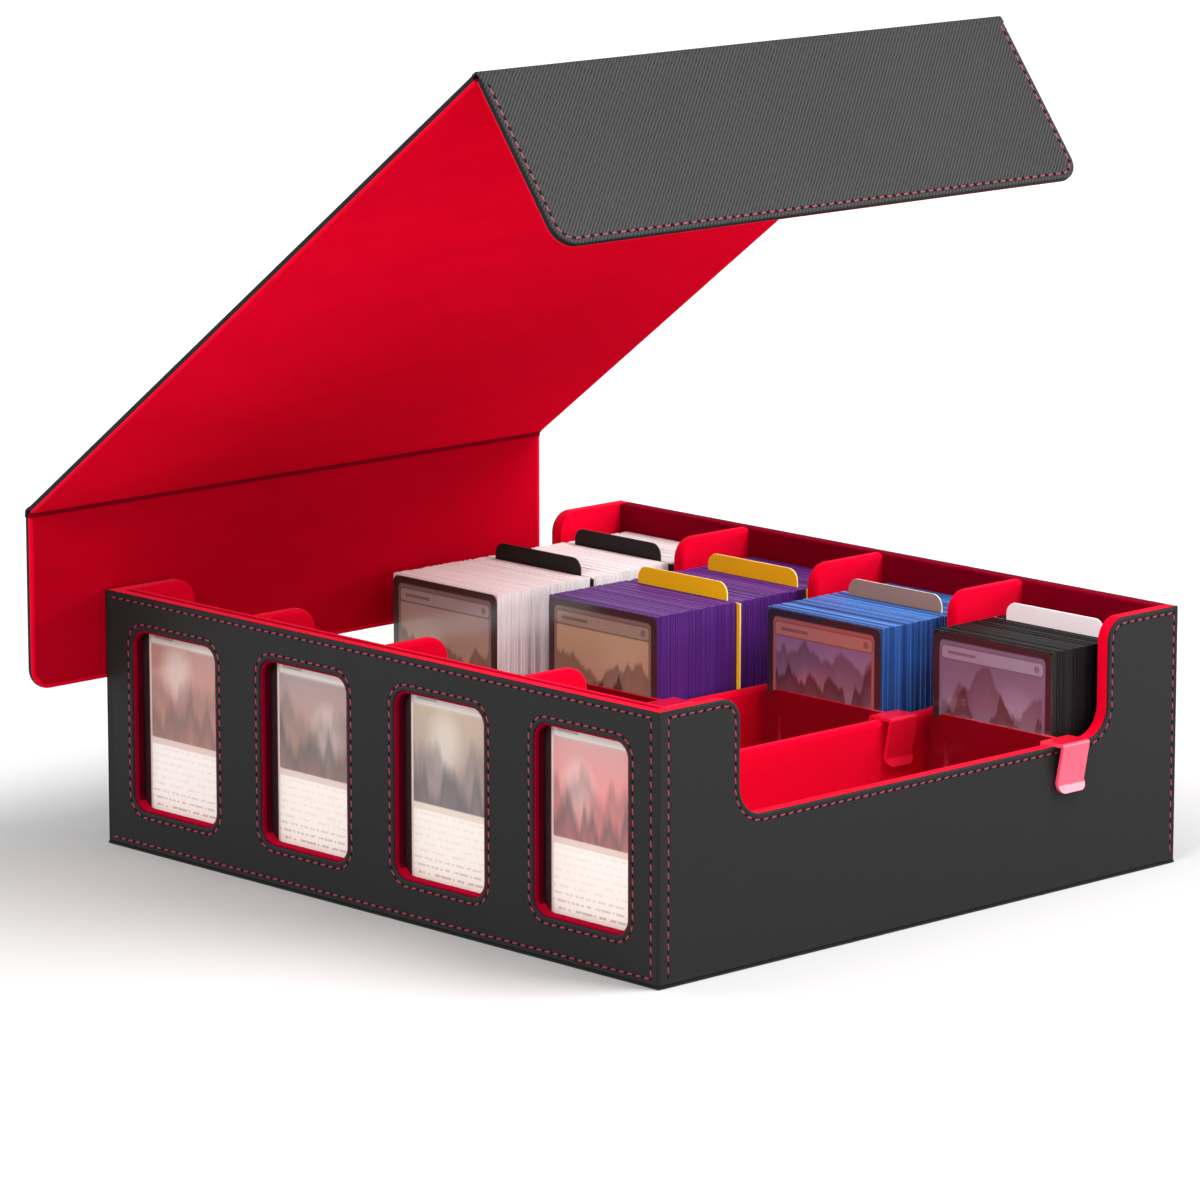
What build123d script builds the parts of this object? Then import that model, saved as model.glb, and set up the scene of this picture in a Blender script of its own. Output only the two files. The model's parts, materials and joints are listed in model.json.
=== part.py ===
"""Trading card storage box: a four-row case of leather-covered board with a folding lift-off cover.

Frame: +X to the right, +Y to the back, +Z up, origin at the middle of the base, millimetres.
The cover stands half open beside the left wall, as it is taken off.
"""
import os
from math import cos, radians, sin

from build123d import *

os.makedirs("parts", exist_ok=True)

# Case: rows for sleeved cards, and walls with a low rim between high posts
box_width = 318.0
box_depth = 286.0
box_height = 104.0
row_count = 4
rim_height = 58.0
front_post_length = 42.0
back_post_length = 41.0
partition_front_post_length = 39.0
partition_back_post_length = 45.0
post_corner_radius = 9.0
rim_corner_radius = 12.0

# Cards and sleeves, fitted to the rows
row_side_room = 3.75
head_room = 11.5
sleeve_side_margin = 0.75
sleeve_top_margin = 0.5
card_corner_radius = 3.0

# Sheet materials
leather_thickness = 0.8
lining_thickness = 0.8
wall_board_thickness = 4.4
base_board_thickness = 2.4
window_board_thickness = 4.2
front_board_thickness = 2.4

# Display pockets behind the windows of the front wall
window_sill = 4.5
window_side_cover = 7.5
window_top_margin = 13.5
window_corner_radius = 7.0
window_lip = 0.8
pane_thickness = 0.3
pane_margin = 4.0
pane_foot_gap = 0.5
pocket_floor_height = 12.0
pocket_side_room = 1.5
pocket_top_margin = 2.0
display_card_thickness = 0.7
display_card_clearance = 0.3

# Holding magnets in the side walls and in the cover's flaps
magnet_radius = 6.0
magnet_thickness = 1.2
magnet_backing = 0.3
magnet_count = 3
magnet_spacing = 80.0
magnet_rim_drop = 14.0
magnet_edge_margin = 10.1

# Folding cover
lid_end_inset = 5.0
left_flap_clearance = 0.5
right_flap_clearance = 1.2
lid_seat_clearance = 0.3
flap_corner_radius = 9.0
fold_radius = 1.45
fold_clearance = 0.6
fold_strip_thickness = 1.2
lid_open_angle = 36.5
lid_raise = 33.9
lid_forward = 42.0

# Row dividers that hook over the wall at the right of their row
divider_thickness = 2.0
divider_floor_gap = 1.0
divider_pass_clearance = 0.3
divider_corner_radius = 8.0
divider_slot_width = 2.2
divider_slot_height = 12.0
divider_slot_inset = 9.0
divider_slot_drop = 16.0
divider_panel_thickness = 1.0
divider_panel_inset = 13.0
divider_panel_drop = 20.0
clip_thickness = 1.5
clip_width = 15.0
clip_clearance = 0.3
clip_inner_leg = 14.0
clip_outer_leg = 20.0
clip_stand_off = 3.0
clip_lip_height = 4.0
clip_lip_flare = 1.5
clip_corner_radius = 3.0
clip_bend_radius = 1.2

# Card stacks: the white one's length, and how far forward on the rim the others' dividers are clipped
white_stack_length = 134.5
purple_clip_place = 62.5
blue_clip_place = 14.5
black_clip_place = 3.5
stack_back_gap = 0.5
stack_clearance = 0.3

# Tab separators, placed by their distance from the back end of their stack
separator_thickness = 0.8
separator_overhang = 1.25
separator_drop = 0.5
tab_shoulder = 7.5
tab_height = 7.5
tab_corner_radius = 5.0
black_front_tab_place = 81.5
black_back_tab_place = 35.5
yellow_front_tab_place = 73.5
yellow_back_tab_place = 33.0
tan_tab_place = 29.5
white_tab_place = 19.5

# Walls, rows and the cards that fit them
wall_thickness = leather_thickness + wall_board_thickness + lining_thickness
partition_thickness = wall_board_thickness + 2 * lining_thickness
row_pitch = (box_width - 2 * wall_thickness + partition_thickness) / row_count
row_width = row_pitch - partition_thickness
wall_foot = leather_thickness + base_board_thickness
floor_top = wall_foot + lining_thickness
sleeved_width = row_width - 2 * row_side_room
sleeved_height = box_height - floor_top - head_room
card_width = sleeved_width - 2 * sleeve_side_margin
card_height = sleeved_height - sleeve_top_margin

# Places across and along the case
side_face = box_width / 2
side_board_face = side_face - leather_thickness
side_inner = side_face - wall_thickness
front_face = -box_depth / 2
window_panel_front = front_face + leather_thickness
pocket_front = window_panel_front + window_board_thickness
pocket_depth = pane_thickness + display_card_thickness + 2 * display_card_clearance
pocket_back = pocket_front + pocket_depth
front_board_face = pocket_back + lining_thickness
row_front = front_board_face + front_board_thickness + lining_thickness
back_face = box_depth / 2
back_board_face = back_face - leather_thickness
row_back = back_board_face - wall_board_thickness - lining_thickness
stack_back = row_back - stack_back_gap
wall_cutout = (front_face + front_post_length, back_face - back_post_length)
partition_cutout = (front_face + partition_front_post_length, back_face - partition_back_post_length)

# Windows and pockets
pocket_width = card_width + 2 * pocket_side_room
window_width = pocket_width - 2 * window_side_cover
window_foot = pocket_floor_height + window_sill
window_height = box_height - window_top_margin - window_foot

# Cover, shut on the case and as it stands in the photo
lid_board_thickness = magnet_thickness + magnet_backing
lid_thickness = leather_thickness + lid_board_thickness + lining_thickness
lid_depth = box_depth - 2 * lid_end_inset
clip_reach = clip_clearance + clip_thickness + max(clip_lip_flare, clip_stand_off)
right_flap_room = clip_reach + right_flap_clearance
lid_span = box_width + left_flap_clearance + right_flap_room + lid_thickness
fold_gap = fold_radius + fold_clearance
closed_fold_height = box_height + lid_seat_clearance + lid_thickness / 2
fold_height = closed_fold_height + lid_raise
left_fold_x = -side_face - left_flap_clearance - lid_thickness / 2
magnet_height = rim_height - magnet_rim_drop
flap_length = closed_fold_height - magnet_height + magnet_edge_margin


def row_centre(row):
    """Middle of a row across the case, counted from the left."""
    return (row - (row_count + 1) / 2) * row_pitch


def facing_front(y):
    """Upright plane across the case at a depth, drawn as seen from the front."""
    return Plane.XZ.offset(-y)


def save(builder, name):
    """Name a finished piece and write it to its own file."""
    builder.part.label = name
    export_step(builder.part, f"parts/{name}.step")


def upright_sheet(y_start, y_end, x_reach, z_start, z_end):
    """Flat sheet across the case, added to the open piece."""
    with Locations((0, (y_start + y_end) / 2, (z_start + z_end) / 2)):
        Box(2 * x_reach, y_end - y_start, z_end - z_start)


def window_grid(lip=0):
    """The row of display windows, drawn in the open sketch and drawn in by a lip."""
    with Locations((0, window_foot + window_height / 2)):
        with GridLocations(row_pitch, 0, row_count, 1):
            RectangleRounded(
                window_width - 2 * lip, window_height - 2 * lip, window_corner_radius - lip
            )


def notched_wall(y_start, y_end, foot, cutout, inset=0):
    """Wall outline with high rounded posts and a low rim between them, along the case and up.

    An inset gives the board inside its lining: flush at the ends and the foot, set back elsewhere.
    """
    start = y_start - inset
    end = y_end + inset
    cutout_front, cutout_back = cutout
    with BuildSketch() as wall:
        with BuildLine():
            Polyline(
                (start, foot - inset),
                (end, foot - inset),
                (end, box_height),
                (cutout_back, box_height),
                (cutout_back, rim_height),
                (cutout_front, rim_height),
                (cutout_front, box_height),
                (start, box_height),
                close=True,
            )
        make_face()
        rim_corners = wall.vertices().filter_by(lambda corner: corner.Y == rim_height)
        fillet(rim_corners, rim_corner_radius)
        fillet(wall.vertices().group_by(Axis.Y)[-1].sort_by(Axis.X)[1:3], post_corner_radius)
        if inset:
            offset(amount=-inset)
    return wall.sketch


# Base: leather underneath, greyboard, and the lining of the row floors

with BuildPart() as base_leather:
    with BuildSketch():
        Rectangle(box_width, box_depth)
    extrude(amount=leather_thickness)
save(base_leather, "base_leather")

with BuildPart() as base_board:
    with BuildSketch(Plane.XY.offset(leather_thickness)):
        Rectangle(2 * side_board_face, 2 * back_board_face)
    extrude(amount=base_board_thickness)
save(base_board, "base_board")

with BuildPart() as floor_lining:
    with BuildSketch(Plane.XY.offset(wall_foot)):
        with Locations((0, (row_front + row_back) / 2)):
            Rectangle(2 * side_inner, row_back - row_front)
    extrude(amount=lining_thickness)
save(floor_lining, "floor_lining")

# Side walls: board with magnets let into its outer face, lining over the rim, leather outside

for side, out in (("left", -1), ("right", 1)):
    with BuildPart() as wall_leather:
        with BuildSketch(Plane.YZ.offset(out * side_board_face)):
            add(notched_wall(front_face, back_face, leather_thickness, wall_cutout))
        extrude(amount=out * leather_thickness)
    save(wall_leather, f"{side}_wall_leather")

    with BuildPart() as wall_lining:
        with BuildSketch(Plane.YZ.offset(out * side_inner)):
            add(notched_wall(pocket_front, back_board_face, wall_foot, wall_cutout))
        extrude(amount=out * (lining_thickness + wall_board_thickness))
        with BuildSketch(Plane.YZ.offset(out * (side_inner + lining_thickness))):
            add(notched_wall(pocket_front, back_board_face, wall_foot, wall_cutout, lining_thickness))
        extrude(amount=out * wall_board_thickness, mode=Mode.SUBTRACT)
    save(wall_lining, f"{side}_wall_lining")

    with BuildPart() as wall_board:
        with BuildSketch(Plane.YZ.offset(out * (side_inner + lining_thickness))):
            add(notched_wall(pocket_front, back_board_face, wall_foot, wall_cutout, lining_thickness))
        extrude(amount=out * wall_board_thickness)
        with BuildSketch(Plane.YZ.offset(out * side_board_face)):
            with Locations((0, magnet_height)):
                with GridLocations(magnet_spacing, 0, magnet_count, 1):
                    Circle(magnet_radius)
        extrude(amount=-out * magnet_thickness, mode=Mode.SUBTRACT)
    save(wall_board, f"{side}_wall_board")

    with BuildPart() as wall_magnets:
        with BuildSketch(Plane.YZ.offset(out * side_board_face)):
            with Locations((0, magnet_height)):
                with GridLocations(magnet_spacing, 0, magnet_count, 1):
                    Circle(magnet_radius)
        extrude(amount=-out * magnet_thickness)
    save(wall_magnets, f"{side}_wall_magnets")

# Back wall: leather, board and a lining that turns over the top edge

with BuildPart() as back_leather:
    upright_sheet(back_board_face, back_face, side_board_face, leather_thickness, box_height)
save(back_leather, "back_leather")

with BuildPart() as back_board:
    upright_sheet(
        row_back + lining_thickness,
        back_board_face,
        side_inner,
        wall_foot,
        box_height - lining_thickness,
    )
save(back_board, "back_board")

with BuildPart() as back_lining:
    upright_sheet(row_back, back_board_face, side_inner, wall_foot, box_height)
    add(back_board.part, mode=Mode.SUBTRACT)
save(back_lining, "back_lining")

# Front wall, from the outside in: window leather, window panel, clear panes, pocket spacers, inner panel

with BuildPart() as front_leather:
    upright_sheet(front_face, window_panel_front, side_board_face, leather_thickness, box_height)
    with BuildSketch(facing_front(front_face)):
        window_grid()
    extrude(amount=-leather_thickness, mode=Mode.SUBTRACT)
save(front_leather, "front_leather")

with BuildPart() as front_window_panel:
    upright_sheet(window_panel_front, pocket_front, side_board_face, wall_foot, box_height)
    with BuildSketch(facing_front(window_panel_front)):
        window_grid(window_lip)
    extrude(amount=-window_board_thickness, mode=Mode.SUBTRACT)
save(front_window_panel, "front_window_panel")

pane_foot = pocket_floor_height + pane_foot_gap
pane_height = window_foot + window_height + pane_margin - pane_foot
with BuildPart() as window_panes:
    with BuildSketch(facing_front(pocket_front)):
        with Locations((0, pane_foot + pane_height / 2)):
            with GridLocations(row_pitch, 0, row_count, 1):
                Rectangle(window_width + 2 * pane_margin, pane_height)
    extrude(amount=-pane_thickness)
save(window_panes, "window_panes")

with BuildPart() as pocket_floor:
    upright_sheet(pocket_front, pocket_back, side_inner, wall_foot, pocket_floor_height)
save(pocket_floor, "pocket_floor")

spacer_height = box_height - pocket_top_margin - pocket_floor_height
with BuildPart() as pocket_spacers:
    with BuildSketch(facing_front(pocket_front)):
        with Locations((0, pocket_floor_height + spacer_height / 2)):
            Rectangle(2 * side_inner, spacer_height)
            with GridLocations(row_pitch, 0, row_count, 1):
                Rectangle(pocket_width, spacer_height, mode=Mode.SUBTRACT)
    extrude(amount=-pocket_depth)
save(pocket_spacers, "pocket_spacers")

with BuildPart() as front_board:
    upright_sheet(
        front_board_face,
        front_board_face + front_board_thickness,
        side_inner,
        wall_foot,
        box_height - lining_thickness,
    )
save(front_board, "front_board")

with BuildPart() as front_lining:
    upright_sheet(pocket_back, row_front, side_inner, wall_foot, box_height)
    add(front_board.part, mode=Mode.SUBTRACT)
save(front_lining, "front_lining")

# Partitions between the rows: board wrapped in lining

for number in range(1, row_count):
    left_face = row_centre(number) + row_width / 2

    with BuildPart() as partition_board:
        with BuildSketch(Plane.YZ.offset(left_face + lining_thickness)):
            add(notched_wall(row_front, row_back, floor_top, partition_cutout, lining_thickness))
        extrude(amount=wall_board_thickness)
    save(partition_board, f"partition_{number}_board")

    with BuildPart() as partition_lining:
        with BuildSketch(Plane.YZ.offset(left_face)):
            add(notched_wall(row_front, row_back, floor_top, partition_cutout))
        extrude(amount=partition_thickness)
        add(partition_board.part, mode=Mode.SUBTRACT)
    save(partition_lining, f"partition_{number}_lining")

# Folding cover: three stiff panels joined by two leather folds along the case

rise = radians(lid_open_angle)
top_along = Vector(cos(rise), 0, sin(rise))
top_outward = Vector(-sin(rise), 0, cos(rise))
left_fold = Vector(left_fold_x, -lid_forward, fold_height)
right_fold = left_fold + top_along * lid_span
top_plane = Plane(left_fold, x_dir=top_along, z_dir=top_outward)
left_plane = Plane(left_fold, x_dir=(0, 0, -1), z_dir=(-1, 0, 0))
right_plane = Plane(right_fold, x_dir=-top_outward, z_dir=top_along)


def panel_outline(start, end, corner_radius, inset=0):
    """Cover panel from its fold outwards, drawn in the open sketch with its free corners rounded."""
    with Locations(((start + end) / 2, 0)):
        Rectangle(end - start - 2 * inset, lid_depth - 2 * inset)
    if corner_radius:
        fillet(vertices().group_by(Axis.X)[-1], corner_radius - inset)


def magnet_row():
    """Magnets across a flap, where they meet those of the wall when the cover is shut."""
    with Locations((closed_fold_height - magnet_height, 0)):
        with GridLocations(0, magnet_spacing, 1, magnet_count):
            Circle(magnet_radius)


for panel, plane, start, end, corner_radius in (
    ("left_flap", left_plane, fold_gap, flap_length, flap_corner_radius),
    ("top", top_plane, fold_gap, lid_span - fold_gap, 0),
    ("right_flap", right_plane, fold_gap, flap_length, flap_corner_radius),
):
    board_inside = plane.offset(-lid_board_thickness / 2)

    with BuildPart() as lid_board:
        with BuildSketch(board_inside):
            panel_outline(start, end, corner_radius, inset=leather_thickness)
        extrude(amount=lid_board_thickness)
        if corner_radius:
            with BuildSketch(board_inside):
                magnet_row()
            extrude(amount=magnet_thickness, mode=Mode.SUBTRACT)
    save(lid_board, f"lid_{panel}_board")

    with BuildPart() as lid_leather:
        with BuildSketch(board_inside):
            panel_outline(start, end, corner_radius)
        extrude(amount=lid_board_thickness + leather_thickness)
        with BuildSketch(board_inside):
            panel_outline(start, end, corner_radius, inset=leather_thickness)
        extrude(amount=lid_board_thickness, mode=Mode.SUBTRACT)
    save(lid_leather, f"lid_{panel}_leather")

    with BuildPart() as lid_lining:
        with BuildSketch(board_inside):
            panel_outline(start, end, corner_radius)
        extrude(amount=-lining_thickness)
    save(lid_lining, f"lid_{panel}_lining")

    if corner_radius:
        with BuildPart() as lid_magnets:
            with BuildSketch(board_inside):
                magnet_row()
            extrude(amount=magnet_thickness)
        save(lid_magnets, f"lid_{panel}_magnets")

for side, fold, inward in (("left", left_fold, 1), ("right", right_fold, -1)):
    fold_end = Plane(fold - Vector(0, lid_depth / 2, 0), x_dir=top_along, z_dir=(0, 1, 0))
    with BuildPart() as lid_fold:
        with BuildSketch(fold_end):
            Circle(fold_radius)
            with Locations((inward * fold_gap / 2, 0)):
                Rectangle(fold_gap, fold_strip_thickness)
        extrude(amount=lid_depth)
    save(lid_fold, f"lid_{side}_fold")

# Card stacks, the tab separators between their blocks, and the dividers that hold them up

stacks = (
    (1, "white", None),
    (2, "purple", purple_clip_place),
    (3, "blue", blue_clip_place),
    (4, "black", black_clip_place),
)
separators = (
    (1, "tab_black_front", black_front_tab_place),
    (1, "tab_black_back", black_back_tab_place),
    (2, "tab_yellow_front", yellow_front_tab_place),
    (2, "tab_yellow_back", yellow_back_tab_place),
    (3, "tab_tan", tan_tab_place),
    (4, "tab_white", white_tab_place),
)
separator_width = sleeved_width + 2 * separator_overhang
separator_height = sleeved_height - separator_drop

for row, colour, clip_place in stacks:
    if clip_place is None:
        stack_front = stack_back - white_stack_length
    else:
        cutout_back = wall_cutout[1] if row == row_count else partition_cutout[1]
        divider_place = cutout_back - rim_corner_radius - clip_place - clip_width / 2
        stack_front = divider_place + divider_thickness / 2 + stack_clearance
    places = sorted(stack_back - place for stack_row, name, place in separators if stack_row == row)
    half_gap = separator_thickness / 2 + stack_clearance
    block_fronts = [stack_front] + [place + half_gap for place in places]
    block_backs = [place - half_gap for place in places] + [stack_back]

    with BuildPart() as card_stack:
        with BuildSketch(Plane.XY.offset(floor_top)):
            for block_front, block_back in zip(block_fronts, block_backs):
                with Locations((row_centre(row), (block_front + block_back) / 2)):
                    Rectangle(sleeved_width, block_back - block_front)
        extrude(amount=sleeved_height)
    save(card_stack, f"card_stack_{colour}")

    if clip_place is None:
        continue

    # Moulded divider: a plate in front of the stack, on a clip hooked over the wall at the right
    wall_left = row_centre(row) + row_width / 2
    hooked_thickness = wall_thickness if row == row_count else partition_thickness
    slot_left = wall_left - clip_clearance
    slot_right = wall_left + hooked_thickness + clip_clearance
    clip_left = slot_left - clip_thickness
    clip_right = slot_right + clip_thickness
    clip_top = rim_height + clip_thickness
    leg_end = clip_top - clip_outer_leg
    lip_start = leg_end + clip_lip_height
    free_end = row_centre(row) - row_width / 2 + clip_reach + divider_pass_clearance
    plate_front = facing_front(divider_place - divider_thickness / 2)
    plate_foot = floor_top + divider_floor_gap
    panel_left = free_end + divider_panel_inset
    panel_top = clip_top - divider_panel_drop

    with BuildPart() as divider:
        with BuildSketch(facing_front(divider_place - clip_width / 2)):
            with BuildLine():
                Polyline(
                    (clip_left, clip_top - clip_inner_leg),
                    (clip_left, clip_top),
                    (clip_right + clip_stand_off, clip_top),
                    (clip_right, lip_start),
                    (clip_right + clip_lip_flare, leg_end),
                    (slot_right + clip_lip_flare, leg_end),
                    (slot_right, lip_start),
                    (slot_right + clip_stand_off, rim_height),
                    (slot_left, rim_height),
                    (slot_left, clip_top - clip_inner_leg),
                    close=True,
                )
            make_face()
            fillet(vertices().group_by(Axis.Y)[-1], clip_bend_radius)
        extrude(amount=-clip_width)
        fillet(divider.edges().filter_by(Axis.X).group_by(Axis.Z)[0], clip_corner_radius)

        with BuildSketch(plate_front):
            with Locations(((free_end + slot_left) / 2, (plate_foot + clip_top) / 2)):
                Rectangle(slot_left - free_end, clip_top - plate_foot)
            fillet(vertices().group_by(Axis.X)[0], divider_corner_radius)
            with Locations((free_end + divider_slot_inset, clip_top - divider_slot_drop)):
                SlotOverall(divider_slot_height, divider_slot_width, rotation=90, mode=Mode.SUBTRACT)
        extrude(amount=-divider_thickness)

        with BuildSketch(plate_front):
            with Locations(((panel_left + slot_left) / 2, (plate_foot + panel_top) / 2)):
                Rectangle(slot_left - panel_left, panel_top - plate_foot)
        extrude(amount=divider_panel_thickness)
    save(divider, f"divider_row_{row}")

for row, name, place in separators:
    with BuildPart() as separator:
        with BuildSketch(facing_front(stack_back - place - separator_thickness / 2)):
            with Locations((row_centre(row), floor_top + separator_height / 2)):
                Rectangle(separator_width, separator_height)
            with Locations((row_centre(row), floor_top + (separator_height + tab_height) / 2)):
                Rectangle(separator_width - 2 * tab_shoulder, separator_height + tab_height)
            fillet(vertices().group_by(Axis.Y)[-1], tab_corner_radius)
        extrude(amount=-separator_thickness)
    save(separator, name)

# Display cards standing in the pockets behind the windows

for row in range(1, row_count + 1):
    with BuildPart() as display_card:
        with BuildSketch(facing_front(pocket_front + pane_thickness + display_card_clearance)):
            with Locations((row_centre(row), pocket_floor_height + card_height / 2)):
                RectangleRounded(card_width, card_height, card_corner_radius)
        extrude(amount=-display_card_thickness)
    save(display_card, f"display_card_{row}")
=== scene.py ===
import json
import math
import random

import bmesh
import bpy
from mathutils import Matrix, Vector


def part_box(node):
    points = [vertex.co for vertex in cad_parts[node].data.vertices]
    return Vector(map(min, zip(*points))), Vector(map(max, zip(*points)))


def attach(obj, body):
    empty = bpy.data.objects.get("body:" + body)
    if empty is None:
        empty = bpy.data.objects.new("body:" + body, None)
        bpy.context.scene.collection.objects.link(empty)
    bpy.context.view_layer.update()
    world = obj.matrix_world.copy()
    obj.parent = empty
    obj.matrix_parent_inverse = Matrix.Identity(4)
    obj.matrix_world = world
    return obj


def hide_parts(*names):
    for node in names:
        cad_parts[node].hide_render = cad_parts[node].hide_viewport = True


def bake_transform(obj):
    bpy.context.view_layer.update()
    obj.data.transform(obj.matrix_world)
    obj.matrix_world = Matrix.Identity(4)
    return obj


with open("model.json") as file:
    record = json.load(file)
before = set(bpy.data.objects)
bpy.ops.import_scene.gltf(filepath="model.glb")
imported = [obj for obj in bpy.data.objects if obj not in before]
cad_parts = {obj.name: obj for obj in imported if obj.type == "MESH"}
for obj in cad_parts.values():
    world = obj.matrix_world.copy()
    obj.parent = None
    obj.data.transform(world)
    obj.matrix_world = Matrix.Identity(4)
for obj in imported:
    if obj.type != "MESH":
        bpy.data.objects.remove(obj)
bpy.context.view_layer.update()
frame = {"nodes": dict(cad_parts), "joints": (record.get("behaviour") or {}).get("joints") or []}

# Studio: a plain pale floor that runs out to white, soft lamps above, behind and at both sides,
# and a long-lens camera at the photograph's viewing angle. None of it belongs to the box.

scene = bpy.context.scene
scene.view_settings.view_transform = "Standard"


def stand_and_aim(item, place, target):
    """Stand a camera or a lamp at a place in the scene and point it at another."""
    item.location = place
    item.rotation_mode = "QUATERNION"
    item.rotation_quaternion = (Vector(target) - Vector(place)).to_track_quat("-Z", "Y")
    scene.collection.objects.link(item)


camera_data = bpy.data.cameras.new("camera")
camera_data.lens = 185.91
camera_data.sensor_width = 36.0
camera_data.clip_end = 100.0
camera = bpy.data.objects.new("camera", camera_data)
stand_and_aim(camera, (1.73517, -1.67743, 0.58875), (-0.022, 0.0, 0.0998))
scene.camera = camera


def add_lamp(name, place, target, width, depth, power):
    """A soft rectangular lamp pointed at a place."""
    lamp_data = bpy.data.lights.new(name, "AREA")
    lamp_data.shape = "RECTANGLE"
    lamp_data.size = width
    lamp_data.size_y = depth
    lamp_data.energy = power
    stand_and_aim(bpy.data.objects.new(name, lamp_data), place, target)


add_lamp("key_lamp", (0.6, -2.2, 1.5), (0.0, 0.0, 0.12), 1.4, 1.4, 57.0)
add_lamp("fill_lamp", (-1.7, -1.3, 0.9), (-0.1, 0.0, 0.0), 1.2, 1.2, 16.0)
add_lamp("top_lamp", (1.3, 0.9, 2.2), (0.0, 0.0, 0.1), 1.4, 1.4, 90.0)
add_lamp("low_lamp", (2.0, -0.1, 0.25), (0.0, 0.0, 0.28), 1.6, 0.4, 8.0)
add_lamp("back_lamp", (0.75, 0.95, 0.4), (-0.16, 0.1, 0.2), 0.7, 0.3, 5.0)


def add_node(tree, kind, inputs=None, **options):
    """Add a shader node, set its options, and set or link its inputs."""
    node = tree.nodes.new("ShaderNode" + kind)
    for option, value in options.items():
        setattr(node, option, value)
    for socket, value in (inputs or {}).items():
        if isinstance(value, bpy.types.NodeSocket):
            tree.links.new(value, node.inputs[socket])
        else:
            node.inputs[socket].default_value = value
    return node


def calc(tree, operation, *values):
    """Result of a math node on numbers or sockets."""
    return add_node(tree, "Math", dict(enumerate(values)), operation=operation).outputs[0]


def vector_calc(tree, operation, *values):
    """Result of a vector math node on vectors or sockets, a number for a length or a dot product."""
    node = add_node(tree, "VectorMath", dict(enumerate(values)), operation=operation)
    return node.outputs["Value" if operation in ("LENGTH", "DOT_PRODUCT") else "Vector"]


def ramp(tree, value, start, end, low=0.0, high=1.0):
    """A number that runs from low to high while a value runs from start to end."""
    inputs = {"Value": value, "From Min": start, "From Max": end, "To Min": low, "To Max": high}
    return add_node(tree, "MapRange", inputs).outputs[0]


def object_place(tree):
    """Place on the object, in metres."""
    return add_node(tree, "TexCoord").outputs["Object"]


def new_material(name):
    """A material with only its output node, as the material, its node tree and its surface socket."""
    material = bpy.data.materials.new(name)
    material.use_nodes = True
    material.node_tree.nodes.clear()
    output = add_node(material.node_tree, "OutputMaterial")
    return material, material.node_tree, output.inputs["Surface"]


def seen_straight(tree):
    """1 where the camera, a mirror or a clear film looks at the backdrop, and 0 for the light it gives."""
    path = add_node(tree, "LightPath").outputs
    seen = calc(tree, "MAXIMUM", path["Is Camera Ray"], path["Is Glossy Ray"])
    return calc(tree, "MAXIMUM", seen, path["Is Transmission Ray"])


white = (1.0, 1.0, 1.0, 1.0)
world_light = 0.4
world = bpy.data.worlds.new("white_studio")
world.use_nodes = True
tree = world.node_tree
tree.nodes.clear()
world_level = calc(tree, "MULTIPLY_ADD", seen_straight(tree), 1.0 - world_light, world_light)
background = add_node(tree, "Background", {"Color": white, "Strength": world_level})
add_node(tree, "OutputWorld", {"Surface": background.outputs[0]})
scene.world = world

# Floor paper, seen straight darker than the light it bounces, and lifted to white by a camera-only glow
# that is weakest beside the case, so the floor there is grey in painted shade as well as in the case's
# shadow
floor_material, tree, surface = new_material("pale_floor")
floor_grain = add_node(tree, "TexNoise", {"Scale": 9.0, "Detail": 3.0}).outputs["Fac"]
floor_tone = calc(tree, "MULTIPLY_ADD", floor_grain, 0.02, 0.70)
floor_tone = calc(tree, "MULTIPLY_ADD", seen_straight(tree), -0.20, floor_tone)
floor_paper = add_node(tree, "BsdfDiffuse", {"Color": floor_tone})
case_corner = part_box("base_leather")[1]
beyond_case = vector_calc(tree, "ABSOLUTE", object_place(tree))
beyond_case = vector_calc(tree, "SUBTRACT", beyond_case, (case_corner.x, case_corner.y, 0.0))
beyond_case = vector_calc(tree, "MAXIMUM", beyond_case, (0.0, 0.0, 0.0))
floor_reach = vector_calc(tree, "LENGTH", beyond_case)
# The glow fades out towards the case, which paints shade on the floor beside it
near_lift = ramp(tree, floor_reach, 0.01, 0.13, 0.0, 0.2)
far_lift = ramp(tree, floor_reach, 0.13, 1.4, 0.0, 0.6)
floor_lift = calc(tree, "MULTIPLY", seen_straight(tree), calc(tree, "ADD", near_lift, far_lift))
floor_glow = add_node(tree, "Emission", {"Color": white, "Strength": floor_lift})
floor_mix = add_node(tree, "AddShader", {0: floor_paper.outputs[0], 1: floor_glow.outputs[0]})
tree.links.new(floor_mix.outputs[0], surface)

mm = 0.001
floor_half_width = 12.0
floor_drop = 0.2 * mm
bm = bmesh.new()
bmesh.ops.create_grid(bm, x_segments=1, y_segments=1, size=floor_half_width)
bmesh.ops.translate(bm, verts=bm.verts, vec=(0.0, 0.0, -floor_drop))
floor_mesh = bpy.data.meshes.new("floor")
bm.to_mesh(floor_mesh)
bm.free()
floor_mesh.materials.append(floor_material)
floor = bpy.data.objects.new("floor", floor_mesh)
scene.collection.objects.link(floor)

# Base: grey bookbinder's board under the whole case, with leather glued on underneath
# and a thin red microfibre on the floor of the rows.

nodes = frame["nodes"]


def finish_node(node, material):
    """Give a part of the frame its finish."""
    nodes[node].data.materials.clear()
    nodes[node].data.materials.append(material)


def new_group(name, inputs, outputs):
    """A shader node group, as the group, the sockets it is given and the sockets it puts out to."""
    group = bpy.data.node_groups.new(name, "ShaderNodeTree")
    for socket, kind, value in inputs:
        entry = group.interface.new_socket(socket, in_out="INPUT", socket_type="NodeSocket" + kind)
        if value is not None:
            entry.default_value = value
    for socket, kind in outputs:
        group.interface.new_socket(socket, in_out="OUTPUT", socket_type="NodeSocket" + kind)
    return group, group.nodes.new("NodeGroupInput").outputs, group.nodes.new("NodeGroupOutput").inputs


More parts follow.
